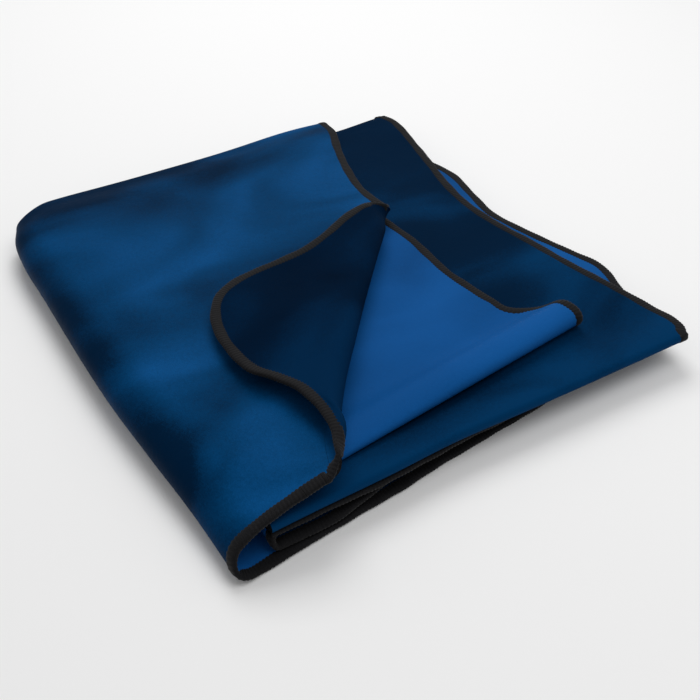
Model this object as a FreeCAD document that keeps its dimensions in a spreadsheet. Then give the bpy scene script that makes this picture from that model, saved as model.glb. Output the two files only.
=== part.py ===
import FreeCAD, Part
import math
import os

from FreeCAD import Vector

# A padded cloth table top, folded to a square stack of eight leaves.
# Frame: origin at the middle of the stack's base, +X away from the left folds,
# +Y away from the near side, +Z up, millimetres.
# The cut is four columns long and two rows wide. It is folded in half along the far
# side, and then column on column: left fold, right fold, left fold. One corner of the
# top leaf is folded back.

DIMENSIONS = {
    # laminate: two cloths bonded to a thin foam
    "face_cloth": 0.5,
    "foam_core": 1.4,
    "reverse_cloth": 0.5,
    "hem_width": 6.0,
    "hem_thick": 2.4,
    "corner_round": 30.0,
    # heights of the undersides of the leaves
    "leaf_pitch": 3.3,
    "upper_inner_base": 20.1,
    "top_base": 27.3,
    "flap_base": 36.3,
    # plan of the stack
    "outer_fold_x": -145.6,
    "inner_fold_x": -127.6,
    "right_fold_x": 144.4,
    "near_edge": -168.4,
    "far_edge": 163.6,
    "top_right": 90.4,
    "ridge_right_x": 64.4,
    "ridge_right_y": 29.6,
    "ridge_near_x": -89.6,
    "upper_inner_right": 64.4,
    "middle_right": 146.4,
    "under_right": 160.45,
    "flap_tip_x": -109.6,
    "flap_tip_y": -2.4,
    # the curled near edge of the leaf under the top one
    "roll_start_x": -63.6,
    "roll_end_x": 96.4,
    "roll_start_y": -150.4,
    "roll_end_y": -124.4,
    "roll_small": 2.6,
    "roll_large": 6.6,
    "roll_gap": 1.2,
    "ridge_trim": 8.0,
}

doc = FreeCAD.newDocument("folded_table_top")
sheet = doc.addObject("Spreadsheet::Sheet", "dims")
for row, (alias, value) in enumerate(DIMENSIONS.items(), start=1):
    sheet.set(f"A{row}", alias)
    sheet.set(f"B{row}", str(value))
    sheet.setAlias(f"B{row}", alias)
doc.recompute()


def dim(alias):
    """A driving dimension, read from the sheet."""
    return float(sheet.get(alias))


LEAF = "(dims.face_cloth + dims.foam_core + dims.reverse_cloth)"
leaf_thick = dim("face_cloth") + dim("foam_core") + dim("reverse_cloth")
pitch = dim("leaf_pitch")
hem_width = dim("hem_width")
near, far = dim("near_edge"), dim("far_edge")
outer_x, inner_x, right_x = dim("outer_fold_x"), dim("inner_fold_x"), dim("right_fold_x")

nodes = []


def keep(part_object, label):
    """Names a finished sub-part; the label is its file's name."""
    part_object.Label = label
    nodes.append(part_object)
    return part_object


# ---- outlines -------------------------------------------------------------------------


def crossing(point_a, along_a, point_b, along_b):
    """Where two lines in the plan meet."""
    cross = along_a[0] * along_b[1] - along_a[1] * along_b[0]
    between = (point_b[0] - point_a[0], point_b[1] - point_a[1])
    share = (between[0] * along_b[1] - between[1] * along_b[0]) / cross
    return (point_a[0] + share * along_a[0], point_a[1] + share * along_a[1])


def inset(outline, hemmed):
    """The outline moved in by the hem's width along its hemmed edges.

    outline: (x, y, corner radius) anticlockwise; edge i runs from corner i to the next.
    """
    count = len(outline)
    edges = []
    for i in range(count):
        x0, y0, _ = outline[i]
        x1, y1, _ = outline[(i + 1) % count]
        length = math.hypot(x1 - x0, y1 - y0)
        along = ((x1 - x0) / length, (y1 - y0) / length)
        shift = hem_width if hemmed[i] else 0.0
        edges.append(((x0 - along[1] * shift, y0 + along[0] * shift), along))
    corners = []
    for i in range(count):
        before, after = edges[i - 1], edges[i]
        x, y = crossing(before[0], before[1], after[0], after[1])
        radius = outline[i][2]
        corners.append((x, y, max(radius - hem_width, 0.0)))
    return corners


def rounded_chain(corners, closed):
    """Line and arc edges through the corners, each rounded by its radius."""
    count = len(corners)
    starts, ends, arcs = [], [], []
    for i, (x, y, radius) in enumerate(corners):
        corner = Vector(x, y, 0)
        inside = closed or 0 < i < count - 1
        if radius <= 0 or not inside:
            starts.append(corner)
            ends.append(corner)
            arcs.append(None)
            continue
        before = Vector(*corners[i - 1][:2], 0) - corner
        after = Vector(*corners[(i + 1) % count][:2], 0) - corner
        before.normalize()
        after.normalize()
        half = before.getAngle(after) / 2
        reach = radius / math.tan(half)
        middle = (before + after).normalize() * (radius / math.sin(half) - radius)
        starts.append(corner + before * reach)
        ends.append(corner + after * reach)
        arcs.append((corner + before * reach, corner + middle, corner + after * reach))
    pieces = []
    for i in range(count):
        if arcs[i]:
            pieces.append(Part.Arc(*arcs[i]))
        last = i == count - 1
        if last and not closed:
            continue
        pieces.append(Part.LineSegment(ends[i], starts[(i + 1) % count]))
    return pieces


def padded_outline(label, pieces, base, thickness):
    """A body with one pad of the outline; base and thickness are expressions."""
    body = doc.addObject("PartDesign::Body", label)
    sketch = body.newObject("Sketcher::SketchObject", f"{label}_outline")
    plane = next(f for f in body.Origin.OriginFeatures if f.Role == "XY_Plane")
    sketch.AttachmentSupport = [(plane, "")]
    sketch.MapMode = "FlatFace"
    for piece in pieces:
        sketch.addGeometry(piece, False)
    pad = body.newObject("PartDesign::Pad", f"{label}_pad")
    pad.Profile = sketch
    pad.setExpression("Length", thickness)
    body.setExpression("Placement.Base.z", base)
    return keep(body, label)


def hem(label, outline, inner, first, count, base):
    """The bound edge along count edges of the outline, from edge first on."""
    size = len(outline)
    outside = [outline[(first + k) % size] for k in range(count + 1)]
    inside = [inner[(first + k) % size] for k in range(count + 1)]
    inside.reverse()
    pieces = rounded_chain(outside, False) + rounded_chain(inside, False)
    corners = [Vector(*p[:2], 0) for p in (outside[0], outside[-1], inside[0], inside[-1])]
    pieces.append(Part.LineSegment(corners[1], corners[2]))
    pieces.append(Part.LineSegment(corners[3], corners[0]))
    lowered = f"{base} - (dims.hem_thick - {LEAF}) / 2"
    return padded_outline(label, pieces, lowered, "dims.hem_thick")


def leaf(name, outline, hemmed, base):
    """Face cloth, foam and reverse cloth of one leaf, and its hems where it has any."""
    inner = inset(outline, hemmed)
    layers = [("reverse_cloth", "0 mm"), ("foam_core", "dims.reverse_cloth"),
              ("face_cloth", "(dims.reverse_cloth + dims.foam_core)")]
    for layer, lift in layers:
        chain = rounded_chain(inner, True)
        height = f"{base} + {lift}" if lift != "0 mm" else base
        padded_outline(f"{name}_{layer}", chain, height, f"dims.{layer}")
    runs = []
    for i, is_hemmed in enumerate(hemmed):
        if is_hemmed and not hemmed[i - 1]:
            run = 1
            while hemmed[(i + run) % len(hemmed)]:
                run += 1
            runs.append((i, run))
    for number, (first, count) in enumerate(runs):
        suffix = "" if len(runs) == 1 else f"_{number + 1}"
        hem(f"{name}_hem{suffix}", outline, inner, first, count, base)


# ---- folds ----------------------------------------------------------------------------


def half_tube(label, start, along, outward, radius, length, thickness=LEAF):
    """Half a tube about the line from start along a direction, bulging outward."""
    side = outward.cross(along)
    turn = FreeCAD.Rotation(side, outward, along, "ZYX")
    half = {}
    for name, sign in (("outer", "+"), ("inner", "-")):
        half[name] = doc.addObject("Part::Cylinder", f"{label}_{name}")
        half[name].setExpression("Radius", f"{radius} {sign} {thickness} / 2")
        half[name].Height = length
        half[name].Angle = 180
        half[name].Placement = FreeCAD.Placement(start, turn)
    tube = doc.addObject("Part::Cut", label)
    tube.Base = half["outer"]
    tube.Tool = half["inner"]
    return keep(tube, label)


def fold_along_y(name, x, outward, low, high, has_hem):
    """The bend that joins two leaves at the left or right; low and high are their mid heights."""
    axis = Vector(0, 1, 0)
    height, radius = (low + high) / 2, (high - low) / 2
    cloth_start = near + hem_width if has_hem else near
    half_tube(name, Vector(x, cloth_start, height), axis, outward, radius, far - cloth_start)
    if has_hem:
        half_tube(f"{name}_hem", Vector(x, near, height), axis, outward, radius,
                  hem_width, "dims.hem_thick")


def fold_along_x(name, start_x, end_x, low, high):
    """The bend that joins two leaves along the far side."""
    height, radius = (low + high) / 2, (high - low) / 2
    half_tube(name, Vector(start_x, far, height), Vector(1, 0, 0), Vector(0, 1, 0),
              radius, end_x - start_x)


def middle(base):
    """The mid height of a leaf whose underside is at base."""
    return base + leaf_thick / 2


# ---- the leaves, from the table up ----------------------------------------------------


def rectangle(left, right):
    """Anticlockwise from the near left corner, edge 0 along the near side."""
    return [(left, near, 0), (right, near, 0), (right, far, 0), (left, far, 0)]


NEAR_ONLY = [True, False, False, False]
LOWER_LEAVES = ["bottom_leaf", "second_leaf", "third_leaf", "fourth_leaf"]
for level, leaf_name in enumerate(LOWER_LEAVES):
    left_x = outer_x if level < 2 else inner_x
    leaf(leaf_name, rectangle(left_x, right_x), NEAR_ONLY, f"{level} * dims.leaf_pitch")

# The pair above them: the lower one shows its bound right edge past the upper one's.
round_corner = dim("corner_round")
under_outline = [(inner_x, near, 0), (dim("under_right"), near, round_corner),
                 (dim("under_right"), far, 0), (inner_x, far, 0)]
leaf("under_leaf", under_outline, [True, True, False, False], "4 * dims.leaf_pitch")
middle_outline = [(inner_x, near, 0), (dim("middle_right"), near, hem_width),
                  (dim("middle_right"), far, 0), (inner_x, far, 0)]
leaf("middle_leaf", middle_outline, [False, True, False, False], "5 * dims.leaf_pitch")

# The pair on top. The lower one's near edge is curled into a tapered roll.
roll_start = Vector(dim("roll_start_x"), dim("roll_start_y"), 0)
roll_end = Vector(dim("roll_end_x"), dim("roll_end_y"), 0)
roll_large, roll_small = dim("roll_large"), dim("roll_small")
ridge_near_x = dim("ridge_near_x")
inner_right = dim("upper_inner_right")


def beside_roll(x):
    """A point of the upper inner leaf's near edge, just clear of the roll."""
    share = (x - roll_start.x) / (roll_end.x - roll_start.x)
    radius = roll_small + share * (roll_large - roll_small)
    y = roll_start.y + share * (roll_end.y - roll_start.y)
    return (x, y + radius + dim("roll_gap"), 0)


upper_inner_outline = [(outer_x, near + hem_width, 0), (ridge_near_x, near + hem_width, 0),
                       beside_roll(roll_start.x), beside_roll(inner_right),
                       (inner_right, far, 0), (outer_x, far, 0)]
leaf("upper_inner_leaf", upper_inner_outline, [False, False, False, True, False, False],
     "dims.upper_inner_base")

roll = doc.addObject("Part::Cone", "curled_edge")
roll.setExpression("Radius1", "dims.roll_small")
roll.setExpression("Radius2", "dims.roll_large")
roll_run = roll_end - roll_start
roll.Height = roll_run.Length
roll_lift = dim("upper_inner_base") + roll_small
rise = Vector(roll_run.x, roll_run.y, roll_large - roll_small)
roll.Placement = FreeCAD.Placement(
    Vector(roll_start.x, roll_start.y, roll_lift),
    FreeCAD.Rotation(Vector(0, 0, 1), rise))
keep(roll, "curled_edge")

ridge_right = (dim("ridge_right_x"), dim("ridge_right_y"))
ridge_near = (ridge_near_x, near)
top_outline = [(outer_x, near, 0), (*ridge_near, 0), (*ridge_right, 0),
               (dim("top_right"), far, 0), (outer_x, far, 0)]
leaf("top_leaf", top_outline, [True, False, True, False, False], "dims.top_base")

flap_outline = [(*ridge_right, 0), (dim("flap_tip_x"), dim("flap_tip_y"), round_corner),
                (*ridge_near, 0)]
leaf("corner_flap", flap_outline, [True, True, False], "dims.flap_base")

# ---- the folds between them -----------------------------------------------------------

LEFT, RIGHT = Vector(-1, 0, 0), Vector(1, 0, 0)
top_middle = middle(dim("top_base"))
upper_middle = middle(dim("upper_inner_base"))
fold_along_y("outer_fold", outer_x, LEFT, middle(0), top_middle, True)
fold_along_y("outer_fold_lining", outer_x, LEFT, middle(pitch), upper_middle, False)
fold_along_y("inner_fold", inner_x, LEFT, middle(2 * pitch), middle(5 * pitch), True)
fold_along_y("inner_fold_lining", inner_x, LEFT, middle(3 * pitch), middle(4 * pitch), False)
fold_along_y("right_fold", right_x, RIGHT, middle(0), middle(3 * pitch), True)
fold_along_y("right_fold_lining", right_x, RIGHT, middle(pitch), middle(2 * pitch), False)
fold_along_x("far_fold_bottom", outer_x, right_x, middle(0), middle(pitch))
fold_along_x("far_fold_lower", inner_x, right_x, middle(2 * pitch), middle(3 * pitch))
fold_along_x("far_fold_middle", inner_x, dim("middle_right") - hem_width,
             middle(4 * pitch), middle(5 * pitch))
fold_along_x("far_fold_top", outer_x, inner_right - hem_width, upper_middle, top_middle)

ridge_along = Vector(ridge_near[0] - ridge_right[0], ridge_near[1] - ridge_right[1], 0)
ridge_trim = dim("ridge_trim")
ridge_length = ridge_along.Length - 2 * ridge_trim
ridge_along.normalize()
ridge_outward = Vector(-ridge_along.y, ridge_along.x, 0)
flap_middle = middle(dim("flap_base"))
ridge_start = Vector(*ridge_right, (top_middle + flap_middle) / 2) + ridge_along * ridge_trim
half_tube("corner_fold", ridge_start, ridge_along, ridge_outward,
          (flap_middle - top_middle) / 2, ridge_length)

# ---- checks and files -----------------------------------------------------------------

doc.recompute()
for item in doc.Objects:
    if "Invalid" in item.State or "Error" in item.State:
        raise RuntimeError(f"{item.Label} failed: {item.State}")
os.makedirs("parts", exist_ok=True)
for node in nodes:
    shape = node.Shape
    if shape.isNull() or not shape.isValid() or shape.Volume <= 0:
        raise RuntimeError(f"{node.Label} has no valid shape")
    shape.exportStep(f"parts/{node.Label}.step")
print(len(nodes), "nodes written")
print("axes:", "outer", (outer_x, (middle(0) + top_middle) / 2),
      "inner", (inner_x, (middle(2 * pitch) + middle(5 * pitch)) / 2),
      "ridge", ridge_right, ridge_near, (top_middle + flap_middle) / 2)
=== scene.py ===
import math

import bpy
import numpy as np
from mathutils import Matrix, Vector

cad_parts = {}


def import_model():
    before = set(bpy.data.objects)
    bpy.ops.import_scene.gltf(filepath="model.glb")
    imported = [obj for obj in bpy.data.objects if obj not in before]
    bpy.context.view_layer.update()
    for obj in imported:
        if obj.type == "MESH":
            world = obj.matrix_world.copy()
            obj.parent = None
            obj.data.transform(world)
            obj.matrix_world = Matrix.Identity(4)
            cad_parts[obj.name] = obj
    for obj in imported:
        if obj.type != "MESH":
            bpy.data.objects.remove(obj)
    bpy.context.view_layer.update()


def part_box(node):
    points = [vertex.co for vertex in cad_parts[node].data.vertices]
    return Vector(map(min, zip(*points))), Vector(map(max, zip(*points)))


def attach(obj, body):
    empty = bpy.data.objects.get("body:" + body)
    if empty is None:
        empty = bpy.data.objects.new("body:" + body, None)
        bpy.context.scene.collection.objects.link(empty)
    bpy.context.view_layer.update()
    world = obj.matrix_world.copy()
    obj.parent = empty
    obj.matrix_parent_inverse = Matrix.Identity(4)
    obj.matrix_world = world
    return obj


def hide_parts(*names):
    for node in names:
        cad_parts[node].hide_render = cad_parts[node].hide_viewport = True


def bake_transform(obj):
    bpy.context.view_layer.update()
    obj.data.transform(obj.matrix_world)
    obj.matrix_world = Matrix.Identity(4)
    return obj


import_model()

# A folded padded cloth table top. All shapes are worked out in millimetres in the CAD
# frame and written to the meshes in metres. Each sheet is a grid of points on the
# cloth's middle surface. A double sheet's rows start at the near side, go round the
# fold at the far side and come back.

MM = 0.001
CLOTH = 2.4
HEM_HALF_WIDTH = 3.5
HEM_HALF_THICK = 1.6
HEM_OVERHANG = 1.3
HEM_SQUARENESS = 0.75
HEM_SWELL = 1.14
RING = 14
RIB_DEPTH = 0.085
RIB_SLANT = 1.1
STITCH_PITCH = 2.1
TABLE_GAP = 0.05
ARC_STEPS = 10
ROWS = 96
SEAM_X = -112.0


# ---- sizes from the frame -------------------------------------------------------------


def low_high(node):
    """A CAD node's lowest and highest corner, in millimetres."""
    low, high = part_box(node)
    return np.array(low) / MM, np.array(high) / MM


def middle_z(leaf):
    """The mid height of a leaf's foam."""
    low, high = low_high(f"{leaf}_foam_core")
    return (low[2] + high[2]) / 2


Z_BOTTOM = middle_z("bottom_leaf")
Z_SECOND = middle_z("second_leaf")
Z_THIRD = middle_z("third_leaf")
Z_FOURTH = middle_z("fourth_leaf")
Z_UNDER = middle_z("under_leaf")
Z_MIDDLE = middle_z("middle_leaf")
Z_UPPER = middle_z("upper_inner_leaf")
Z_TOP = middle_z("top_leaf")
INNER_X = low_high("third_leaf_foam_core")[0][0]
RIGHT_X = low_high("bottom_leaf_foam_core")[1][0]
NEAR_Y = low_high("bottom_leaf_hem")[0][1]
FAR_Y = low_high("bottom_leaf_foam_core")[1][1]
RIDGE_RIGHT = np.array([64.4, 29.6])
RIDGE_NEAR = np.array([-97.0, NEAR_Y])
CORNER_ROUND = 50.0


# ---- small maths ----------------------------------------------------------------------


def unit(vectors):
    """The vectors at length one."""
    length = np.linalg.norm(vectors, axis=-1, keepdims=True)
    return vectors / np.maximum(length, 1e-9)


def smooth(share):
    """An even rise from 0 to 1."""
    share = np.clip(share, 0.0, 1.0)
    return share * share * (3 - 2 * share)


def bump(x, y, at, spread, height):
    """A soft mound on the plan."""
    return height * np.exp(-((x - at[0]) / spread[0]) ** 2 - ((y - at[1]) / spread[1]) ** 2)


def through(points, at):
    """A smooth curve through (place, value) points, read at the given places."""
    places = np.array([p[0] for p in points], float)
    values = np.array([p[1] for p in points], float)
    slopes = np.gradient(values, places)
    at = np.clip(np.asarray(at, float), places[0], places[-1])
    i = np.clip(np.searchsorted(places, at) - 1, 0, len(places) - 2)
    gap = places[i + 1] - places[i]
    t = (at - places[i]) / gap
    return ((2 * t**3 - 3 * t**2 + 1) * values[i] + (t**3 - 2 * t**2 + t) * gap * slopes[i]
            + (3 * t**2 - 2 * t**3) * values[i + 1] + (t**3 - t**2) * gap * slopes[i + 1])


def evened(values, reach=4):
    """The values, or points, each averaged with its neighbours up to the reach."""
    pad = [(reach, reach)] + [(0, 0)] * (values.ndim - 1)
    padded = np.pad(values, pad, mode="reflect", reflect_type="odd")
    count = 2 * reach + 1
    return sum(padded[k:len(values) + k] for k in range(count)) / count


def swell(x, y, phase):
    """The cloth's slow waves, in millimetres."""
    return (0.45 * np.sin(x / 31 + 1.3 * phase + 0.6 * np.sin(y / 47 + phase))
            + 0.4 * np.sin(y / 38 - 0.8 * phase + 0.7 * np.sin(x / 53))
            + 0.22 * np.sin((x + y) / 19 + 2.1 * phase))


# ---- meshes ---------------------------------------------------------------------------


def make_object(name, points, faces, slots, materials):
    """A smooth mesh object from points in millimetres."""
    mesh = bpy.data.meshes.new(name)
    mesh.from_pydata((np.asarray(points) * MM).tolist(), [], faces)
    for material in materials:
        mesh.materials.append(material)
    mesh.polygons.foreach_set("material_index", np.asarray(slots, np.int32))
    mesh.polygons.foreach_set("use_smooth", np.ones(len(mesh.polygons), bool))
    mesh.update()
    obj = bpy.data.objects.new(name, mesh)
    bpy.context.scene.collection.objects.link(obj)
    return obj


def grid_normals(grid):
    """Unit normals of a grid, along columns x rows."""
    across = np.gradient(grid, axis=1)
    along = np.gradient(grid, axis=0)
    return unit(np.cross(across, along))


def cloth_object(name, grid, outer_slot, inner_slot, materials):
    """A padded cloth of even thickness about the grid.

    outer_slot and inner_slot hold the material of each cell on the two sides.
    """
    rows, columns = grid.shape[:2]
    offset = grid_normals(grid) * CLOTH / 2
    points = np.concatenate([(grid + offset).reshape(-1, 3), (grid - offset).reshape(-1, 3)])
    size = rows * columns
    index = np.arange(size).reshape(rows, columns)
    a, b = index[:-1, :-1].ravel(), index[:-1, 1:].ravel()
    c, d = index[1:, 1:].ravel(), index[1:, :-1].ravel()
    outer = np.stack([a, b, c, d], 1)
    inner = np.stack([d, c, b, a], 1) + size
    ring = np.concatenate([index[0, :-1], index[:-1, -1], index[-1, :0:-1], index[:0:-1, 0]])
    ahead = np.roll(ring, -1)
    rim = np.stack([ahead, ring, ring + size, ahead + size], 1)
    faces = np.concatenate([outer, inner, rim]).tolist()
    slots = np.concatenate([outer_slot.ravel(), inner_slot.ravel(), np.full(len(rim), 2)])
    obj = make_object(name, points, faces, slots, materials)
    mesh = obj.data
    on_ring = np.zeros(2 * size, bool)
    on_ring[ring] = True
    on_ring[ring + size] = True
    ends = np.zeros(len(mesh.edges) * 2, np.int32)
    mesh.edges.foreach_get("vertices", ends)
    ends = ends.reshape(-1, 2)
    same_side = (ends[:, 0] < size) == (ends[:, 1] < size)
    sharp = on_ring[ends].all(axis=1) & same_side
    mesh.attributes.new("sharp_edge", "BOOLEAN", "EDGE").data.foreach_set("value", sharp)
    return obj


def resample(points, step):
    """Catmull-Rom points at even steps along a polyline, and the same weights for others."""
    gaps = np.linalg.norm(np.diff(points, axis=0), axis=1)
    length = np.concatenate([[0], np.cumsum(np.maximum(gaps, 1e-6))])
    count = max(int(length[-1] / step), 4)
    at = np.linspace(0, length[-1], count + 1)
    i = np.clip(np.searchsorted(length, at, side="right") - 1, 0, len(points) - 2)
    t = ((at - length[i]) / (length[i + 1] - length[i]))[:, None]

    def read(values):
        before = values[np.maximum(i - 1, 0)]
        after = values[np.minimum(i + 2, len(values) - 1)]
        here, ahead = values[i], values[i + 1]
        return 0.5 * (2 * here + (ahead - before) * t
                      + (2 * before - 5 * here + 4 * ahead - after) * t**2
                      + (3 * here - before - 3 * ahead + after) * t**3)

    return at, read


def hem_points(edge, inside):
    """Rings of an overlocked edge: a flat tube round the cloth's edge, ribbed by its thread."""
    at, read = resample(edge, STITCH_PITCH / 4)
    centre = read(edge)
    outward = unit(evened(unit(centre - read(inside)), 7))
    along = unit(np.gradient(centre, axis=0))
    outward = unit(outward - along * (outward * along).sum(1, keepdims=True))
    normal = np.cross(outward, along)
    turn = np.arange(RING) / RING * 2 * math.pi
    wide = np.sign(np.cos(turn)) * np.abs(np.cos(turn)) ** HEM_SQUARENESS
    thick = np.sign(np.sin(turn)) * np.abs(np.sin(turn)) ** HEM_SQUARENESS
    slant = RIB_SLANT * np.cos(turn) * np.sign(np.sin(turn) + 1e-6)
    rib = 1 + RIB_DEPTH * np.cos(2 * math.pi * at[:, None] / STITCH_PITCH + slant[None])
    wander = 1 + 0.05 * np.sin(at[:, None] / 7.3) + 0.04 * np.sin(at[:, None] / 3.1 + 1)
    out = HEM_OVERHANG - HEM_HALF_WIDTH + HEM_HALF_WIDTH * wide[None] * (0.5 + 0.5 * rib) * wander
    up = HEM_HALF_THICK * thick[None] * rib
    return (centre[:, None] + outward[:, None] * out[..., None]
            + normal[:, None] * up[..., None])


def hem_object(name, paths, material):
    """One object for the overlocked edges along the given (edge, inside) paths."""
    points, faces, start = [], [], 0
    for edge, inside in paths:
        rings = hem_points(np.asarray(edge), np.asarray(inside))
        count = len(rings)
        points.append(rings.reshape(-1, 3))
        index = np.arange(count * RING).reshape(count, RING) + start
        beside = np.roll(index, -1, axis=1)
        walls = np.stack([index[:-1], index[1:], beside[1:], beside[:-1]], -1).reshape(-1, 4)
        faces += walls.tolist()
        faces.append(index[0].tolist())
        faces.append(index[-1][::-1].tolist())
        start += count * RING
    points = np.concatenate(points)
    return make_object(name, points, faces, np.zeros(len(faces)), [material])


# ---- materials ------------------------------------------------------------------------


def node_material(name):
    """An empty node material, its nodes, links and shader."""
    material = bpy.data.materials.new(name)
    material.use_nodes = True
    nodes, links = material.node_tree.nodes, material.node_tree.links
    return material, nodes, links, nodes["Principled BSDF"]


def ramp(nodes, stops):
    """A colour ramp through (place, colour) stops."""
    made = nodes.new("ShaderNodeValToRGB")
    elements = made.color_ramp.elements
    while len(elements) < len(stops):
        elements.new(0.5)
    for element, (place, colour) in zip(elements, stops):
        element.position = place
        element.color = (*colour, 1)
    return made


def noise(nodes, links, place, scale, detail, roughness=0.5, distortion=0.0):
    """A noise texture on the given coordinates."""
    made = nodes.new("ShaderNodeTexNoise")
    made.inputs["Scale"].default_value = scale
    made.inputs["Detail"].default_value = detail
    made.inputs["Roughness"].default_value = roughness
    made.inputs["Distortion"].default_value = distortion
    links.new(place, made.inputs["Vector"])
    return made


def stretched(nodes, links, place, scale, turn=0.0):
    """The coordinates scaled differently along each axis."""
    made = nodes.new("ShaderNodeMapping")
    made.inputs["Scale"].default_value = scale
    made.inputs["Rotation"].default_value = (0, 0, turn)
    links.new(place, made.inputs["Vector"])
    return made.outputs["Vector"]


SHEEN_TINT = (0.03, 0.4, 1.0)
FIBRE_SHARE = 0.22
FLECK_SHARE = 0.16


def pile_material(name, dark, plain, light, sheen, gloss, painted_light_ramps=()):
    """Brushed short-pile cloth: large light and dark patches, partly pile marks and partly
    painted sheen bands, fine fibre grain and a soft sheen.

    Each entry of the last argument is (way, low, high, amount): along the plan direction
    "way", in metres, from low to high, the cloth is painted lighter or darker by the amount:
    painted light where the amount is positive, painted shade where it is negative.
    """
    material, nodes, links, shader = node_material(name)
    place = nodes.new("ShaderNodeTexCoord").outputs["Object"]
    # large light and dark patches: partly pile marks, partly painted sheen bands standing in for
    # highlights
    nap_and_sheen_place = stretched(nodes, links, place, (9, 15, 12), 0.5)
    nap_and_sheen = noise(nodes, links, nap_and_sheen_place, 1.0, 2, 0.42, 0.7)
    fibre_place = stretched(nodes, links, place, (2600, 900, 1500), 0.2)
    fibre = noise(nodes, links, fibre_place, 1.0, 2)
    fleck = noise(nodes, links, place, 420, 3, 0.7)
    mix = nodes.new("ShaderNodeMath")
    mix.operation = "MULTIPLY_ADD"
    links.new(fibre.outputs["Fac"], mix.inputs[0])
    mix.inputs[1].default_value = FIBRE_SHARE
    links.new(nap_and_sheen.outputs["Fac"], mix.inputs[2])
    more = nodes.new("ShaderNodeMath")
    more.operation = "MULTIPLY_ADD"
    links.new(fleck.outputs["Fac"], more.inputs[0])
    more.inputs[1].default_value = FLECK_SHARE
    links.new(mix.outputs[0], more.inputs[2])
    total = more.outputs[0]
    # painted light and painted shade: each ramp lightens or darkens the cloth along a plan
    # direction
    for way, low, high, amount in painted_light_ramps:
        across = nodes.new("ShaderNodeVectorMath")
        across.operation = "DOT_PRODUCT"
        across.inputs[1].default_value = (*way, 0)
        links.new(place, across.inputs[0])
        painted_light_ramp = nodes.new("ShaderNodeMapRange")
        painted_light_ramp.interpolation_type = "SMOOTHSTEP"
        painted_light_ramp.inputs["From Min"].default_value = low
        painted_light_ramp.inputs["From Max"].default_value = high
        painted_light_ramp.inputs["To Min"].default_value = 0.0
        painted_light_ramp.inputs["To Max"].default_value = amount
        links.new(across.outputs["Value"], painted_light_ramp.inputs["Value"])
        added = nodes.new("ShaderNodeMath")
        links.new(total, added.inputs[0])
        links.new(painted_light_ramp.outputs["Result"], added.inputs[1])
        total = added.outputs[0]
    colour = ramp(nodes, [(0.42, dark), (0.68, plain), (0.95, light)])
    links.new(total, colour.inputs["Fac"])
    links.new(colour.outputs["Color"], shader.inputs["Base Color"])
    rough = nodes.new("ShaderNodeMapRange")
    rough.inputs["To Min"].default_value = gloss - 0.08
    rough.inputs["To Max"].default_value = gloss + 0.12
    links.new(fleck.outputs["Fac"], rough.inputs["Value"])
    links.new(rough.outputs["Result"], shader.inputs["Roughness"])
    shader.inputs["Sheen Weight"].default_value = sheen
    shader.inputs["Sheen Roughness"].default_value = 0.42
    shader.inputs["Sheen Tint"].default_value = (*SHEEN_TINT, 1)
    shader.inputs["Specular IOR Level"].default_value = 0.025
    shader.inputs["Specular Tint"].default_value = (*SHEEN_TINT, 1)
    grain = nodes.new("ShaderNodeBump")
    grain.inputs["Strength"].default_value = 0.28
    grain.inputs["Distance"].default_value = 0.00035
    links.new(fibre.outputs["Fac"], grain.inputs["Height"])
    crease_place = stretched(nodes, links, place, (26, 38, 30), 0.9)
    creases = noise(nodes, links, crease_place, 1.0, 4, 0.5, 0.4)
    soft = nodes.new("ShaderNodeBump")
    soft.inputs["Strength"].default_value = 0.35
    soft.inputs["Distance"].default_value = 0.0022
    links.new(creases.outputs["Fac"], soft.inputs["Height"])
    links.new(grain.outputs["Normal"], soft.inputs["Normal"])
    links.new(soft.outputs["Normal"], shader.inputs["Normal"])
    return material


def thread_material():
    """Black overlock thread: a fine grain of strands, with a little dust."""
    material, nodes, links, shader = node_material("overlock_thread")
    place = nodes.new("ShaderNodeTexCoord").outputs["Object"]
    strands = noise(nodes, links, place, 1900, 3, 0.6)
    dust = noise(nodes, links, place, 60, 4, 0.6)
    colour = ramp(nodes, [(0.3, (0.0015, 0.0015, 0.002)), (0.55, (0.004, 0.004, 0.0052)),
                          (0.8, (0.016, 0.016, 0.018))])
    mix = nodes.new("ShaderNodeMath")
    mix.operation = "MULTIPLY_ADD"
    links.new(dust.outputs["Fac"], mix.inputs[0])
    mix.inputs[1].default_value = 0.35
    weaker = nodes.new("ShaderNodeMath")
    weaker.operation = "MULTIPLY"
    weaker.inputs[1].default_value = 0.7
    links.new(strands.outputs["Fac"], weaker.inputs[0])
    links.new(weaker.outputs[0], mix.inputs[2])
    links.new(mix.outputs[0], colour.inputs["Fac"])
    links.new(colour.outputs["Color"], shader.inputs["Base Color"])
    shader.inputs["Roughness"].default_value = 0.72
    shader.inputs["Specular IOR Level"].default_value = 0.12
    shader.inputs["Sheen Weight"].default_value = 0.06
    shader.inputs["Sheen Roughness"].default_value = 0.5
    grain = nodes.new("ShaderNodeBump")
    grain.inputs["Strength"].default_value = 0.36
    grain.inputs["Distance"].default_value = 0.0003
    links.new(strands.outputs["Fac"], grain.inputs["Height"])
    links.new(grain.outputs["Normal"], shader.inputs["Normal"])
    return material


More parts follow.
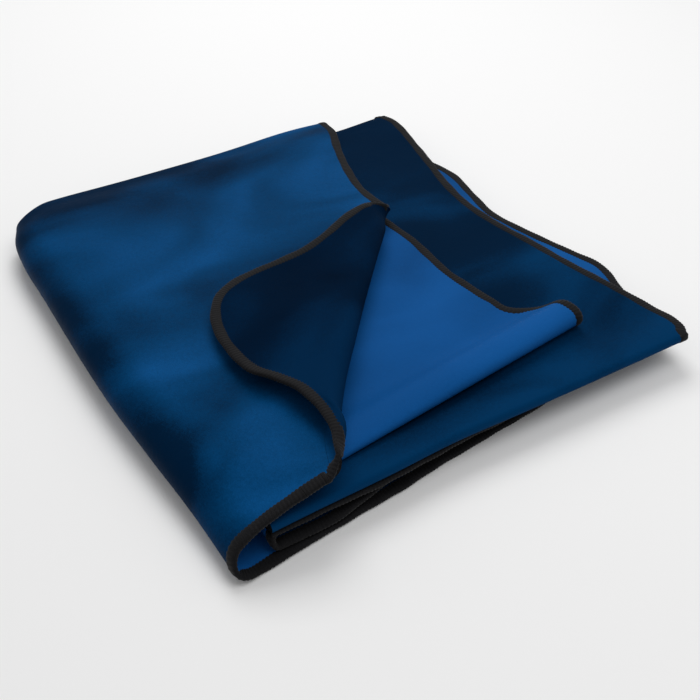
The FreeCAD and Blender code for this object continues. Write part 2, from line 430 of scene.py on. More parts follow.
def foam_material():
    """The cut edge of the black foam, seen only where no thread covers it."""
    material, nodes, links, shader = node_material("foam_edge")
    place = nodes.new("ShaderNodeTexCoord").outputs["Object"]
    cells = noise(nodes, links, place, 1400, 3, 0.6)
    colour = ramp(nodes, [(0.3, (0.002, 0.002, 0.0025)), (0.7, (0.007, 0.007, 0.008))])
    links.new(cells.outputs["Fac"], colour.inputs["Fac"])
    links.new(colour.outputs["Color"], shader.inputs["Base Color"])
    shader.inputs["Roughness"].default_value = 0.9
    shader.inputs["Specular IOR Level"].default_value = 0.1
    return material


# Four copies of one blue pile cloth: face_cloth is the brightest, and shaded_cloth, reverse_cloth
# and dark_shade_cloth are darker copies of it that paint shade.
face_cloth = pile_material("face_cloth", (0.004, 0.052, 0.18), (0.0055, 0.072, 0.25),
                           (0.0075, 0.09, 0.31), 0.04, 0.5)
# shaded_cloth, the top leaf's upper side: painted shade towards the far left, down the left side
# and at the near edge, and a painted lighter band along the left shoulder
shaded_cloth = pile_material("shaded_cloth", (0.0003, 0.011, 0.035), (0.0008, 0.041, 0.127),
                             (0.004, 0.08, 0.255), 0.03, 0.5,
                             [((-0.6, 1), 0.1, 0.165, -0.19), ((-1, -0.04), 0.138, 0.158, -0.21),
                              ((-1, 0), 0.08, 0.12, 0.08), ((0, -1), 0.06, 0.12, -0.07)])
# reverse_cloth, the darkest copy: painted shade on the folded corner and on sides that lie between
# leaves, painted lighter towards the near side
reverse_cloth = pile_material("reverse_cloth", (0.0002, 0.0042, 0.0145), (0.0003, 0.0075, 0.025),
                              (0.0006, 0.018, 0.058), 0.01, 0.75, [((0, -1), 0.05, 0.12, 0.22)])
# dark_shade_cloth, a dark copy for the middle leaves: painted shade, with a painted highlight
# along their folded near edge
dark_shade_cloth = pile_material("dark_shade_cloth", (0.0002, 0.0085, 0.027), (0.0003, 0.011, 0.035),
                           (0.0008, 0.032, 0.1), 0.012, 0.65, [((0, -1), 0.13, 0.168, 0.24)])
thread = thread_material()
foam = foam_material()
CLOTHS = [face_cloth, reverse_cloth, foam, shaded_cloth, dark_shade_cloth]
# slot numbers; all but FACE and the foam hold darker copies that paint shade
FACE, DARKEST_SHADE, SHADED, DARK_SHADE = 0, 1, 3, 4

# ---- double sheets --------------------------------------------------------------------


def double_sheet(outer, inner):
    """Rows of the outer layer, the bend along the far side, and the inner layer back.

    outer and inner are grids with the same columns; the last row of each is the far one.
    """
    last_outer, last_inner = outer[-1], inner[-1]
    centre, arm = (last_outer + last_inner) / 2, (last_outer - last_inner) / 2
    reach = np.linalg.norm(arm, axis=1, keepdims=True)
    turn = np.linspace(0, math.pi, ARC_STEPS + 2)[1:-1]
    arc = [centre + arm * math.cos(a) + np.array([0, 1, 0]) * reach * math.sin(a) for a in turn]
    return np.concatenate([outer, np.array(arc), inner[::-1]])


def along_path(path, near, far, count):
    """A grid that runs from near to far over a path of (x, z) columns."""
    path = np.asarray(path, float)
    near = np.broadcast_to(near, len(path))
    far = np.broadcast_to(far, len(path))
    share = np.linspace(0, 1, count)[:, None]
    grid = np.zeros((count, len(path), 3))
    grid[..., 0] = path[None, :, 0]
    grid[..., 1] = near + (far - near) * share
    grid[..., 2] = path[None, :, 1]
    return grid


def half_turn(x, outward, low, high, count):
    """Points of a bend from the lower height to the higher, bulging outward in x."""
    middle, radius = (low + high) / 2, (high - low) / 2
    turn = np.linspace(-math.pi / 2, math.pi / 2, count)
    return [(x + outward * radius * math.cos(a), middle + radius * math.sin(a)) for a in turn]


def row_length(grid, row):
    """The length of one row, in metres."""
    return float(np.linalg.norm(np.diff(grid[row], axis=0), axis=1).sum()) * MM


def column_length(grid, column):
    """The length of one column, in metres."""
    return float(np.linalg.norm(np.diff(grid[:, column], axis=0), axis=1).sum()) * MM


# ---- lower stack: two leaves, the right fold and two more leaves ----------------------

BOTTOM_NEAR = [(-165, -4), (-150, -8), (-140, -6.5), (-121, -4), (-96, -1.3), (-70, 0.8),
               (-42, 3.8), (-26, 6.5), (2, 9), (33, 12), (60, 15), (100, 18.5), (146, 20.5)]
THIRD_NEAR = [(-135, 0), (-113, -1), (-100, -1.6), (-86, -0.6), (-67, 5), (-41, 10.5),
              (0, 13.5), (60, 17.5), (146, 20.5)]
RIGHT_FOLD_TUCK = 20.0
SECOND_TUCK = (6, 12)
RIGHT_PINCH = 9


def near_corner_droop(x, y):
    """How far the third leaf's loose near left corner sinks."""
    return -2.0 * smooth((NEAR_Y + 26 - y) / 22) * smooth((-70 - x) / 35)


def lower_heights(grid, level):
    """Slow waves inside the stack, kept off its bound near and far edges."""
    x, y = grid[..., 0], grid[..., 1]
    inside = smooth((y - NEAR_Y - 20) / 40) * smooth((FAR_Y - y) / 40)
    grid[..., 2] += 0.15 * inside * (1 + swell(x, y, level))


def table_lift(y):
    """The rise of the bottom leaf's near edge, whose thread is thicker than the cloth."""
    return smooth((NEAR_Y + 45 - y) / 20) * (HEM_HALF_THICK * HEM_SWELL + TABLE_GAP - Z_BOTTOM)


def lower_stack():
    """The four leaves on the table, as one double sheet round the right fold."""
    left_steps, right_steps = 60, 56
    top_run = np.linspace(INNER_X + 14, RIGHT_X, left_steps)
    low_run = np.linspace(RIGHT_X, SEAM_X, right_steps)
    outer = [(x, Z_FOURTH) for x in top_run[:-1]]
    outer += half_turn(RIGHT_X, 1, Z_BOTTOM, Z_FOURTH, 12)[::-1]
    outer += [(x, Z_BOTTOM) for x in low_run[1:]]
    inner = [(x, Z_THIRD) for x in top_run[:-1]]
    inner += half_turn(RIGHT_X, 1, Z_SECOND, Z_THIRD, 12)[::-1]
    inner += [(x, Z_SECOND) for x in low_run[1:]]
    xs = np.array([p[0] for p in outer])
    on_table = np.arange(len(outer)) > left_steps + 5
    bottom = through(BOTTOM_NEAR, xs)
    second = np.maximum(bottom + SECOND_TUCK[0], SECOND_TUCK[1])
    near_outer = NEAR_Y + evened(np.where(on_table, bottom, RIGHT_FOLD_TUCK))
    near_inner = NEAR_Y + evened(np.where(on_table, second, through(THIRD_NEAR, xs)))
    outer_grid = along_path(outer, near_outer, FAR_Y, ROWS)
    inner_grid = along_path(inner, near_inner, FAR_Y, ROWS)
    lower_heights(outer_grid, 1)
    lower_heights(inner_grid, 2)
    for grid in (outer_grid, inner_grid):
        x, y = grid[..., 0], grid[..., 1]
        grid[..., 0] -= RIGHT_PINCH * smooth((x - 60) / 80) * np.exp(-((y - 5) / 70) ** 2)
    outer_grid[..., 2] += on_table * table_lift(outer_grid[..., 1])
    inner_grid[..., 2] += ~on_table * near_corner_droop(inner_grid[..., 0], inner_grid[..., 1])
    return double_sheet(outer_grid, inner_grid)


# ---- outer wrap: the left fold between the bottom and top leaves ----------------------


TOP_MOUNDS = [((-95, 60), (45, 80), 1.6), ((-20, 110), (40, 40), -1.3),
              ((60, 150), (40, 34), 2.2), ((-92, NEAR_Y), (26, 34), 8.5),
              ((64, 30), (24, 24), 2.5)]
FAR_SINK, FAR_SINK_RUN = 2.2, 22


def top_height(x, y):
    """The top leaf's mid height over the plan."""
    loose = smooth((x + 146) / 60)
    height = Z_TOP + loose * swell(x, y, 0.4)
    for at, spread, rise in TOP_MOUNDS:
        height = height + bump(x, y, at, spread, rise)
    return height - FAR_SINK * smooth((y - FAR_Y + FAR_SINK_RUN) / FAR_SINK_RUN)


LEFT_X = [(-170, -153.5), (-123, -155.6), (-79, -159), (-31, -162), (13, -162.8),
          (48, -162.6), (85, -162.2), (130, -161.8), (150, -159.5), (165, -154)]
LEFT_Z = [(-170, 8.0), (-120, 12), (-60, 14.4), (0, 15), (100, 15.5), (165, 15.5)]
SHOULDER = [(-170, 25), (-110, 35), (-60, 38), (165, 38)]
FULLNESS = [(-170, 0.4), (-110, 0.55), (-60, 0.65), (165, 0.65)]
WRAP_REACH = 16.0
WRAP_ROUNDNESS = 0.55
WRAP_LINING_TUCK = 20.0
WRAP_FAR_TUCK = 9


def bezier(ends, count):
    """Points of cubic curves whose four control points are arrays of (x, z) per row."""
    t = np.linspace(0, 1, count)[None, :, None]
    a, b, c, d = (np.asarray(end)[:, None] for end in ends)
    return (1 - t)**3 * a + 3 * (1 - t)**2 * t * b + 3 * (1 - t) * t**2 * c + t**3 * d


def wrap_layer(left, middle, low, top, slope, shoulder, full):
    """(x, z) per row and column of a bend from the bottom seam round to the top one."""
    seam = np.full(len(left), SEAM_X)
    low = np.broadcast_to(low, len(left))
    top = np.broadcast_to(top, len(left))
    start = left + WRAP_REACH
    share = np.linspace(0, 1, 9)[None, :-1]
    run_x = seam[:, None] + (start - seam)[:, None] * share
    run = np.stack([run_x, np.broadcast_to(low[:, None], run_x.shape)], -1)
    under = [(start, low), (left + WRAP_REACH * (1 - WRAP_ROUNDNESS), low),
             (left, middle - (middle - low) * WRAP_ROUNDNESS), (left, middle)]
    over = [(left, middle), (left, middle + (top - middle) * full),
            (seam - shoulder, top - shoulder * slope), (seam, top)]
    under = bezier([np.stack(pair, 1) for pair in under], 14)
    over = bezier([np.stack(pair, 1) for pair in over], 30)
    return np.concatenate([run, under[:, :-1], over], 1)


def wrap_rows(layer, y, near):
    """A wrap layer's grid: each column runs straight from its near end to its far end."""
    far = FAR_Y - WRAP_FAR_TUCK * smooth((-128 - layer[-1:, :, 0]) / 28)
    share = ((y - NEAR_Y) / (FAR_Y - NEAR_Y))[:, None]
    along = (NEAR_Y + near) * (1 - share) + far * share
    return np.stack([layer[..., 0], along, layer[..., 1]], -1)


def wrap_grid():
    """The double left fold, from the bottom leaf round to the top one."""
    y = np.linspace(NEAR_Y, FAR_Y, ROWS)
    left, middle = through(LEFT_X, y), through(LEFT_Z, y)
    shoulder, full = through(SHOULDER, y), through(FULLNESS, y)
    seam_top = top_height(SEAM_X, y)
    slope = top_height(SEAM_X + 1, y) - seam_top
    low = Z_BOTTOM + table_lift(y)
    outer = wrap_layer(left, middle, low, seam_top, slope, shoulder, full)
    inner = wrap_layer(left + 6, middle + 0.4, Z_SECOND, Z_UPPER, 0 * y, shoulder * 0.8, full)
    up = smooth((outer[:1, :, 1] - Z_BOTTOM - 1) / 16)
    near = (1 - up) * through(BOTTOM_NEAR, outer[:1, :, 0])
    return double_sheet(wrap_rows(outer, y, near), wrap_rows(inner, y, WRAP_LINING_TUCK))


# ---- top leaves -----------------------------------------------------------------------

ridge_along = unit(RIDGE_NEAR - RIDGE_RIGHT)
ridge_out = np.array([-ridge_along[1], ridge_along[0]])
RIDGE_LENGTH = float(np.linalg.norm(RIDGE_NEAR - RIDGE_RIGHT))

TOP_RIGHT_EDGE = [(29.6, 64.4), (45, 64), (60, 65), (90, 72), (120, 82), (149, 93), (163.6, 95)]
UPPER_RIGHT_EDGE = [(-150, 92), (-135, 97), (-128, 99), (-119, 98), (-109, 94), (-102, 86),
                    (-96, 76), (-81, 70.5), (-60, 67), (-45, 65), (-24, 65.5), (0, 66.5),
                    (22, 64.5), (60, 64.5), (90, 71), (163.6, 93)]
RIDGE_BOW = [(0, -1), (29, -3.6), (63, -6.4), (92, -8.4), (117, -9.8), (146, -11), (168, -12),
             (193, -12), (213, -10.5), (235, -6.5), (256, 0)]


def ridge_foot(p):
    """The plan point where the folded corner leaves the top leaf, p along the ridge."""
    p = np.asarray(p, float)
    fade = smooth(p / 6)
    bow = through(RIDGE_BOW, p) * fade
    return RIDGE_RIGHT + p[..., None] * ridge_along + bow[..., None] * ridge_out


def top_right(y):
    """The top leaf's right edge: the foot of the folded corner, then the bound edge."""
    foot = ridge_foot(np.linspace(RIDGE_LENGTH, 0, 200))
    return np.where(y < RIDGE_RIGHT[1], np.interp(y, foot[:, 1], foot[:, 0]),
                    through(TOP_RIGHT_EDGE, y))


ROLL_LEFT, ROLL_RIGHT = np.array([-100.0, -150.0]), np.array([98.0, -128.4])
ROLL_WIDTH = (34.0, 31.0)
ROLL_HEIGHT = (2.5, 10.5)
UPPER_REST = Z_MIDDLE + CLOTH + 0.6


def roll_share(x):
    """How far x lies along the curled edge, from 0 at its tight left end to 1."""
    return np.clip((x - ROLL_LEFT[0]) / (ROLL_RIGHT[0] - ROLL_LEFT[0]), 0, 1)


def roll_profile():
    """(distance, height) of the curled edge in shares of its width and height."""
    legs = [((0.5, 0.14), (0.2, -0.02), (0, 0.12), (0, 0.45)),
            ((0, 0.45), (0, 0.82), (0.14, 1), (0.36, 1)),
            ((0.36, 1), (0.62, 1), (0.66, 0), (1, 0))]
    curves = [bezier([np.array([p]) for p in leg], count)[0]
              for leg, count in zip(legs, (9, 10, 18))]
    return np.concatenate([curves[0][:-1], curves[1][:-1], curves[2]])


def upper_grid(columns, count):
    """The upper inner leaf, whose near edge curls under in a roll that widens rightward."""
    profile = roll_profile()
    down = np.concatenate([np.zeros(len(profile)), np.linspace(0, 1, count)[1:]])[:, None]
    away = np.concatenate([profile[:, 0], np.ones(count - 1)])[:, None]
    lift = np.concatenate([profile[:, 1], np.zeros(count - 1)])[:, None]
    share = np.linspace(0, 1, columns)[None]
    x = SEAM_X + (90 - SEAM_X) * share + 0 * down
    for _ in range(5):
        along = roll_share(x)
        line = ROLL_LEFT[1] + (ROLL_RIGHT[1] - ROLL_LEFT[1]) * (
            (x - ROLL_LEFT[0]) / (ROLL_RIGHT[0] - ROLL_LEFT[0]))
        start = line + (ROLL_WIDTH[0] + (ROLL_WIDTH[1] - ROLL_WIDTH[0]) * along) * away
        y = start + (FAR_Y - start) * down
        x = SEAM_X + (through(UPPER_RIGHT_EDGE, y) - SEAM_X) * share
    height = ROLL_HEIGHT[0] + (ROLL_HEIGHT[1] - ROLL_HEIGHT[0]) * along**0.8
    z = UPPER_REST + (Z_UPPER - UPPER_REST) * smooth(down * 4) + height * lift
    z = z + 0.35 * smooth(down * 6) * (1 - smooth(down * 2.2)) * swell(x, y, 1.7)
    return np.stack([x, y, z], -1)


def top_grid():
    """The two top leaves: the upper one as far as the ridge, and the lower one."""
    columns = 84
    share = np.linspace(0, 1, columns)
    ys = np.concatenate([np.linspace(NEAR_Y, RIDGE_RIGHT[1], 76)[:-1],
                         np.linspace(RIDGE_RIGHT[1], FAR_Y, 46)])
    outer = np.zeros((len(ys), columns, 3))
    outer[..., 0] = SEAM_X + (top_right(ys)[:, None] - SEAM_X) * share
    outer[..., 1] = ys[:, None]
    outer[..., 2] = top_height(outer[..., 0], outer[..., 1])
    return outer, upper_grid(columns, 72)


# ---- the folded corner ----------------------------------------------------------------

FOLD_RADIUS = [(0, 4.4), (0.15, 5.7), (0.4, 6.8), (0.7, 8.0), (0.88, 7.6), (1, 5.5)]
EDGE_AT = [(66.5, 27, 34), (63, 26.5, 37.5), (55, 28, 39.8), (44, 27, 41), (28, 22, 41.5),
           (6, 12, 40.5), (-14, 6, 38.5), (-32, 5, 37), (-49, 4.5, 36), (-66, 1, 36),
           (-80, -7, 36.5), (-91, -23, 37), (-97, -44, 37.5), (-98, -61, 38), (-96, -79, 39),
           (-89, -94, 41), (-83, -110, 43), (-81.5, -129, 44.4), (-83, -143, 44.6),
           (-86, -153, 43.6), (-90, -161, 41.5), (-94, -166.5, 38.8)]


def fold_map(p, q):
    """The corner's flat places (p along the ridge, q away from it), folded back flat."""
    share = np.clip(p / RIDGE_LENGTH, 0, 1)
    radius = through(FOLD_RADIUS, share)
    foot = ridge_foot(p)
    base = top_height(foot[..., 0], foot[..., 1])
    bend = math.pi * radius
    turn = np.clip(q / radius, 0, math.pi)
    aside = np.where(q < bend, radius * np.sin(turn), bend - q)
    plan = foot + aside[..., None] * ridge_out
    z = base + radius * (1 - np.cos(turn))
    return np.concatenate([plan, z[..., None]], axis=-1)


def edge_target(count):
    """The places where the corner's cut edge comes to rest, at even steps."""
    ends = [np.array([*at, float(top_height(at[0], at[1]))]) for at in (RIDGE_RIGHT, RIDGE_NEAR)]
    points = np.array([ends[0], *EDGE_AT, ends[1]])
    gaps = np.linalg.norm(np.diff(points, axis=0), axis=1)
    length = np.concatenate([[0], np.cumsum(gaps)])
    at = np.linspace(0, length[-1], count)
    return np.stack([through(list(zip(length, points[:, k])), at) for k in range(3)], 1)


def corner_edge(count):
    """The corner's cut edge in (p, q), from the right end of the ridge to the near end."""
    corner = np.array([RIDGE_RIGHT[0] + 1.0, NEAR_Y])
    legs = [RIDGE_RIGHT, corner, RIDGE_NEAR]
    before = unit(legs[0] - corner)
    after = unit(legs[2] - corner)
    centre = corner + (before + after) * CORNER_ROUND
    start, end = corner + before * CORNER_ROUND, corner + after * CORNER_ROUND
    points = [legs[0] + (start - legs[0]) * t for t in np.linspace(0, 1, 30)]
    for a in np.linspace(0, math.pi / 2, 14)[1:]:
        points.append(centre - after * CORNER_ROUND * math.cos(a)
                      - before * CORNER_ROUND * math.sin(a))
    points += [end + (legs[2] - end) * t for t in np.linspace(0, 1, 26)[1:]]
    points = np.array(points)
    gaps = np.linalg.norm(np.diff(points, axis=0), axis=1)
    length = np.concatenate([[0], np.cumsum(gaps)])
    at = np.linspace(0, length[-1], count)
    points = np.stack([np.interp(at, length, points[:, k]) for k in range(2)], 1)
    rel = points - RIDGE_RIGHT
    return rel @ ridge_along, rel @ ridge_out


FLAP_COLUMNS, FLAP_ROWS = 150, 80
PLAIN_ENDS = (0.09, 0.07)
HELD_SHARE = 0.6


def flap_grid():
    """The folded corner from the ridge to its cut edge."""
    columns, rows = FLAP_COLUMNS, FLAP_ROWS
    p_edge, q_edge = corner_edge(columns)
    p_ridge = np.linspace(0, RIDGE_LENGTH, columns)
    share = (np.linspace(0, 1, rows) ** 1.25)[:, None]
    p = p_ridge * (1 - share) + p_edge * share
    q = q_edge * share
    grid = fold_map(p, q)
    along = np.linspace(0, 1, columns)
    ends = smooth(along / PLAIN_ENDS[0]) * smooth((1 - along) / PLAIN_ENDS[1])
    shift = (edge_target(columns) - grid[-1]) * ends[:, None]
    radius = through(FOLD_RADIUS, np.clip(p_ridge / RIDGE_LENGTH, 0, 1))
    bend = math.pi * radius
    held = HELD_SHARE * bend / np.maximum(q_edge, bend) * smooth((q_edge - bend) / bend)
    loose = smooth((share - held) / (1 - held))
    grid += loose[..., None] * shift
    clear = top_height(grid[..., 0], grid[..., 1]) + CLOTH + 0.8
    folded = smooth((q - bend) / 6)
    grid[..., 2] = np.maximum(grid[..., 2], clear * folded)
    return grid[:, 1:-1]


# ---- middle leaves --------------------------------------------------------------------

MIDDLE_FAR_Y = FAR_Y - 3.5
MIDDLE_LEFT_X = INNER_X - 3.4
MIDDLE_RIGHT_EDGE = [(-175, 139), (-169, 144), (-164, 148.5), (-156, 151), (-139, 151),
                     (-111, 147), (-80, 141), (-37, 135), (-11, 130.5), (20, 128.5), (50, 132),
                     (82, 139.5), (115, 146.5), (139, 151), (152, 152), (163.6, 149)]
UNDER_RIGHT_EDGE = [(-165, 128), (-150, 137), (-135, 147), (-113, 156), (-105, 159),
                    (-89, 161.5), (-71, 157), (-38, 147.5), (-20, 143), (-2, 139.5), (27, 143),
                    (62, 148), (88, 144), (110, 138), (163.6, 145)]
NOSE_RADIUS = 2.0
NOSE_TUCK = 16.0
NOSE_NEAR = [(-135, 2.4), (-110, 3.2), (-60, 4), (-20, 5.5), (20, 4.4), (60, 3.4), (110, 2.6),
             (150, 1.6)]


def middle_height(x, y):
    """The middle leaf's mid height: it rises to its folded near edge and its far corner."""
    rise = smooth((NEAR_Y + 36 - y) / 32)
    nose = Z_UNDER + CLOTH + 0.4 + 2 * NOSE_RADIUS
    height = Z_MIDDLE + rise * (nose - Z_MIDDLE)
    open_side = smooth((x - 104) / 40)
    height = height + open_side * (0.5 + 0.6 * swell(x, y, 2.6))
    return height + bump(x, y, (150, 150), (30, 36), 0.8)


def under_height(x, y):
    """The under leaf's mid height, waving a little at its free right edge."""
    open_side = smooth((x - 100) / 40)
    return Z_UNDER + open_side * (-0.7 + 0.7 * np.sin(y / 33 + 0.6))


def middle_grid():
    """The two middle leaves; the upper one's near edge is folded under."""
    columns, rows = 90, 100
    share = np.linspace(0, 1, columns)[None]
    left = MIDDLE_LEFT_X
    down = np.linspace(0, 1, rows)[:, None]
    x = left + (RIGHT_X - left) * share + 0 * down
    for _ in range(5):
        near = NEAR_Y + through(NOSE_NEAR, x)
        y = near + (MIDDLE_FAR_Y - near) * down
        x = left + (through(MIDDLE_RIGHT_EDGE, y) - left) * share
    outer = np.stack([x, y, middle_height(x, y)], -1)
    crest = outer[0]
    tucked = [crest + np.array([0, NOSE_TUCK * t, -2 * NOSE_RADIUS + 0.3 * t])
              for t in (1, 0.66, 0.33)]
    for turn in np.linspace(math.pi, 0, 12)[:-1]:
        tucked.append(crest + np.array([0, -NOSE_RADIUS * math.sin(turn),
                                        NOSE_RADIUS * (math.cos(turn) - 1)]))
    outer = np.concatenate([np.array(tucked), outer])
    under_rows = 90
    ys = np.linspace(NEAR_Y + 1.2, MIDDLE_FAR_Y, under_rows)[:, None]
    inner = np.zeros((under_rows, columns, 3))
    inner[..., 0] = left + (through(UNDER_RIGHT_EDGE, ys) - left) * share
    back = 4 * smooth((inner[..., 0] + 70) / 70) + 9 * smooth(inner[..., 0] / 100)
    inner[..., 1] = ys + back * (1 - (ys - NEAR_Y) / (MIDDLE_FAR_Y - NEAR_Y))
    inner[..., 2] = under_height(inner[..., 0], inner[..., 1])
    return outer, inner


# ---- inner fold: from the lower stack up to the under leaf ----------------------------


def inner_fold_grid():
    """The bend on the left between the third leaf and the under leaf."""
    flat = np.linspace(INNER_X + 14, INNER_X, 8)
    path = [(x, Z_THIRD) for x in flat[:-1]]
    path += half_turn(INNER_X, -1, Z_THIRD, Z_UNDER, 18)
    path += [(x, Z_UNDER) for x in (INNER_X + 2, INNER_X + 4)]
    zs = np.array([p[1] for p in path])
    up = smooth((zs - Z_THIRD) / (Z_UNDER - Z_THIRD))
    near = NEAR_Y + (1 - up) * -1.1 + up * 1.0
    grid = along_path(path, near, FAR_Y, ROWS)
    grid[..., 2] += (1 - up) * near_corner_droop(grid[..., 0], grid[..., 1])
    return grid


# ---- make the pieces ------------------------------------------------------------------


def sides(grid, outer_kind, inner_kind):
    """Material numbers of the two sides of each cell."""
    shape = (grid.shape[0] - 1, grid.shape[1] - 1)
    return np.full(shape, outer_kind), np.full(shape, inner_kind)


def edge_of(grid, where):
    """A grid's boundary and the line just inside it."""
    if where == "near":
        return grid[0], grid[1]
    if where == "last":
        return grid[-1], grid[-2]
    return grid[:, -1], grid[:, -2]


# lower stack
lower = lower_stack()
# the sides that face each other between the leaves take the darkest copy, as painted shade
lower_cloth = cloth_object("lower_stack_cloth", lower, *sides(lower, FACE, DARKEST_SHADE), CLOTHS)
lower_hem = hem_object("lower_stack_hem", [edge_of(lower, "near"), edge_of(lower, "last")], thread)
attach(lower_cloth, "lower_stack")
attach(lower_hem, "lower_stack")
LAYERS = ("face_cloth", "foam_core", "reverse_cloth")
LOWER = ("bottom_leaf", "second_leaf", "third_leaf", "fourth_leaf")
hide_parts(*[f"{leaf}_{layer}" for leaf in LOWER for layer in LAYERS],
            "right_fold", "right_fold_lining", "far_fold_bottom", "far_fold_lower")
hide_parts(*[f"{leaf}_hem" for leaf in LOWER], "right_fold_hem")

# outer wrap
wrap = wrap_grid()
# the fold's outside takes the top leaf's painted-shade copy, its inside the brightest copy
wrap_cloth = cloth_object("outer_fold_cloth", wrap, *sides(wrap, SHADED, FACE), CLOTHS)
wrap_hem = hem_object("outer_fold_hem_thread", [edge_of(wrap, "near"), edge_of(wrap, "last")],
                      thread)
for piece in (wrap_cloth, wrap_hem):
    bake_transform(piece)
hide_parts("outer_fold", "outer_fold_lining")
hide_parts("outer_fold_hem")

# top leaves
top_outer, top_inner = top_grid()
top = double_sheet(top_outer, top_inner)
first_bound_row = int(np.argmin(np.abs(top_outer[:, -1, 1] - RIDGE_RIGHT[1])))
# painted shade: the top leaf's upper side takes the shaded copy and its underside the darkest;
# from the far fold on, the upper inner leaf's visible top takes the brightest copy
top_sides = sides(top, SHADED, DARKEST_SHADE)
top_sides[1][len(top_outer) + ARC_STEPS // 2:] = FACE
top_cloth = cloth_object("top_leaves_cloth", top, *top_sides, CLOTHS)
short_of_ridge = slice(None, -8)
top_hem = hem_object(
    "top_leaves_hem",
    [(top[0, short_of_ridge], top[1, short_of_ridge]),
     (top[first_bound_row:, -1], top[first_bound_row:, -2])], thread)
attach(top_cloth, "top_leaves")
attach(top_hem, "top_leaves")
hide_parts(*[f"{leaf}_{layer}" for leaf in ("top_leaf", "upper_inner_leaf")
                         for layer in LAYERS], "far_fold_top", "curled_edge")
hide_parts("top_leaf_hem_1", "top_leaf_hem_2", "upper_inner_leaf_hem")

# folded corner: its reverse shows, painted with the darkest cloth copy as painted shade, and its
# thread runs on a little past the ridge's ends
flap = flap_grid()[:, ::-1]
flap_cloth = cloth_object("corner_flap_cloth", flap, *sides(flap, DARKEST_SHADE, SHADED), CLOTHS)
flap_edge, flap_inside = edge_of(flap, "last")
past_near, past_right = slice(-22, None, 7), slice(first_bound_row, first_bound_row + 2)
clear_ends = slice(4, -4)
flap_path = np.concatenate([top[0, past_near], flap_edge[clear_ends], top[past_right, -1]])
inside_path = np.concatenate([top[1, past_near], flap_inside[clear_ends], top[past_right, -2]])
flap_hem = hem_object("corner_flap_hem_thread", [(evened(flap_path, 1), evened(inside_path, 1))],
                      thread)
for piece in (flap_cloth, flap_hem):
    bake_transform(piece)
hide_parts(*[f"corner_flap_{layer}" for layer in LAYERS], "corner_fold")
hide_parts("corner_flap_hem")

# middle leaves
middle_outer, middle_inner = middle_grid()
middle = double_sheet(middle_outer, middle_inner)
# painted shade: the middle leaves take the dark copy; from the far fold on, the under leaf's upper
# side takes the brightest copy
middle_sides = sides(middle, DARK_SHADE, DARK_SHADE)
middle_sides[1][len(middle_outer) + ARC_STEPS // 2:] = FACE
middle_cloth = cloth_object("middle_leaves_cloth", middle, *middle_sides, CLOTHS)
middle_hem = hem_object("middle_leaves_hem", [edge_of(middle, "right"), edge_of(middle, "last")],
                        thread)
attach(middle_cloth, "middle_leaves")
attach(middle_hem, "middle_leaves")
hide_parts(*[f"{leaf}_{layer}" for leaf in ("middle_leaf", "under_leaf")
                            for layer in LAYERS], "far_fold_middle")
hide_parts("middle_leaf_hem", "under_leaf_hem")

# inner fold
inner_fold = inner_fold_grid()
# the side that faces in between the leaves takes the darkest copy, as painted shade
inner_cloth = cloth_object("inner_fold_cloth", inner_fold, *sides(inner_fold, FACE, DARKEST_SHADE),
                           CLOTHS)
inner_hem = hem_object("inner_fold_hem_thread", [edge_of(inner_fold, "near")], thread)
for piece in (inner_cloth, inner_hem):
    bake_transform(piece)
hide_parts("inner_fold", "inner_fold_lining")
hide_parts("inner_fold_hem")


def declare(grid, flat=None):
    """Works out the sheet's longest row and column unless flat is given; nothing is done with
    them.
    """
    if flat is None:
        longest = max(row_length(grid, r) for r in range(0, grid.shape[0], 6))
        flat = (longest, column_length(grid, 0))


declare(lower)
declare(wrap)
declare(top)
leg_right, leg_near = RIDGE_RIGHT[1] - NEAR_Y, RIDGE_RIGHT[0] - RIDGE_NEAR[0]
declare(flap,
        flat=(leg_near * MM, leg_right * MM))
declare(middle)
declare(inner_fold)

# ---- floor, light and camera ----------------------------------------------------------


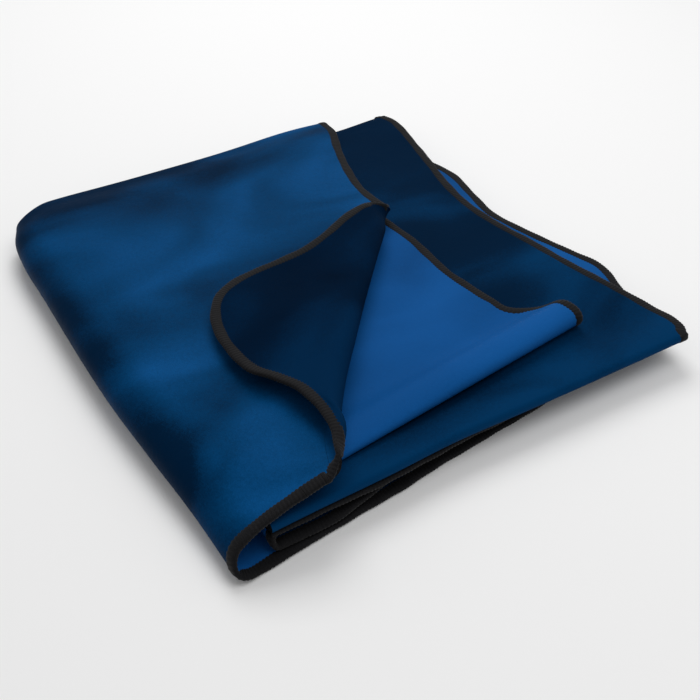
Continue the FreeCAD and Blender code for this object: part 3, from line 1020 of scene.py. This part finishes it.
def floor():
    """A plain pale floor."""
    mesh = bpy.data.meshes.new("floor")
    half = 4.0
    mesh.from_pydata([(-half, -half, 0), (half, -half, 0), (half, half, 0), (-half, half, 0)],
                     [], [(0, 1, 2, 3)])
    obj = bpy.data.objects.new("floor", mesh)
    bpy.context.scene.collection.objects.link(obj)
    material, _, _, shader = node_material("floor")
    shader.inputs["Base Color"].default_value = (0.93, 0.93, 0.93, 1)
    shader.inputs["Roughness"].default_value = 0.9
    mesh.materials.append(material)


def area_light(name, place, size, power):
    """A soft square white light that points at the origin."""
    light = bpy.data.lights.new(name, "AREA")
    light.size = size
    light.energy = power
    obj = bpy.data.objects.new(name, light)
    obj.location = place
    aim = -Vector(place)
    obj.rotation_mode = "QUATERNION"
    obj.rotation_quaternion = aim.to_track_quat("-Z", "Y")
    bpy.context.scene.collection.objects.link(obj)


def camera():
    """A camera over the near left corner, at the angle that the object is seen from."""
    azimuth, elevation, distance = math.radians(-31.7), math.radians(40.0), 0.602
    target = Vector((-0.0166, -0.0543, 0))
    back = Vector((math.sin(azimuth) * math.cos(elevation),
                   -math.cos(azimuth) * math.cos(elevation), math.sin(elevation)))
    data = bpy.data.cameras.new("camera")
    data.sensor_width = 36.0
    data.lens = 50.45
    data.clip_start = 0.01
    obj = bpy.data.objects.new("camera", data)
    obj.location = target + back * distance
    obj.rotation_mode = "QUATERNION"
    obj.rotation_quaternion = (-back).to_track_quat("-Z", "Y")
    bpy.context.scene.collection.objects.link(obj)
    bpy.context.scene.camera = obj


def world():
    """Even white surroundings."""
    made = bpy.data.worlds.new("studio")
    made.use_nodes = True
    made.node_tree.nodes["Background"].inputs["Color"].default_value = (1, 1, 1, 1)
    made.node_tree.nodes["Background"].inputs["Strength"].default_value = 0.43
    bpy.context.scene.world = made
    bpy.context.scene.view_settings.view_transform = "Standard"


floor()
world()
area_light("key", (0.35, 0.75, 1.2), 0.8, 9.2)
area_light("top", (0.3, -0.5, 1.4), 0.9, 5.8)
camera()
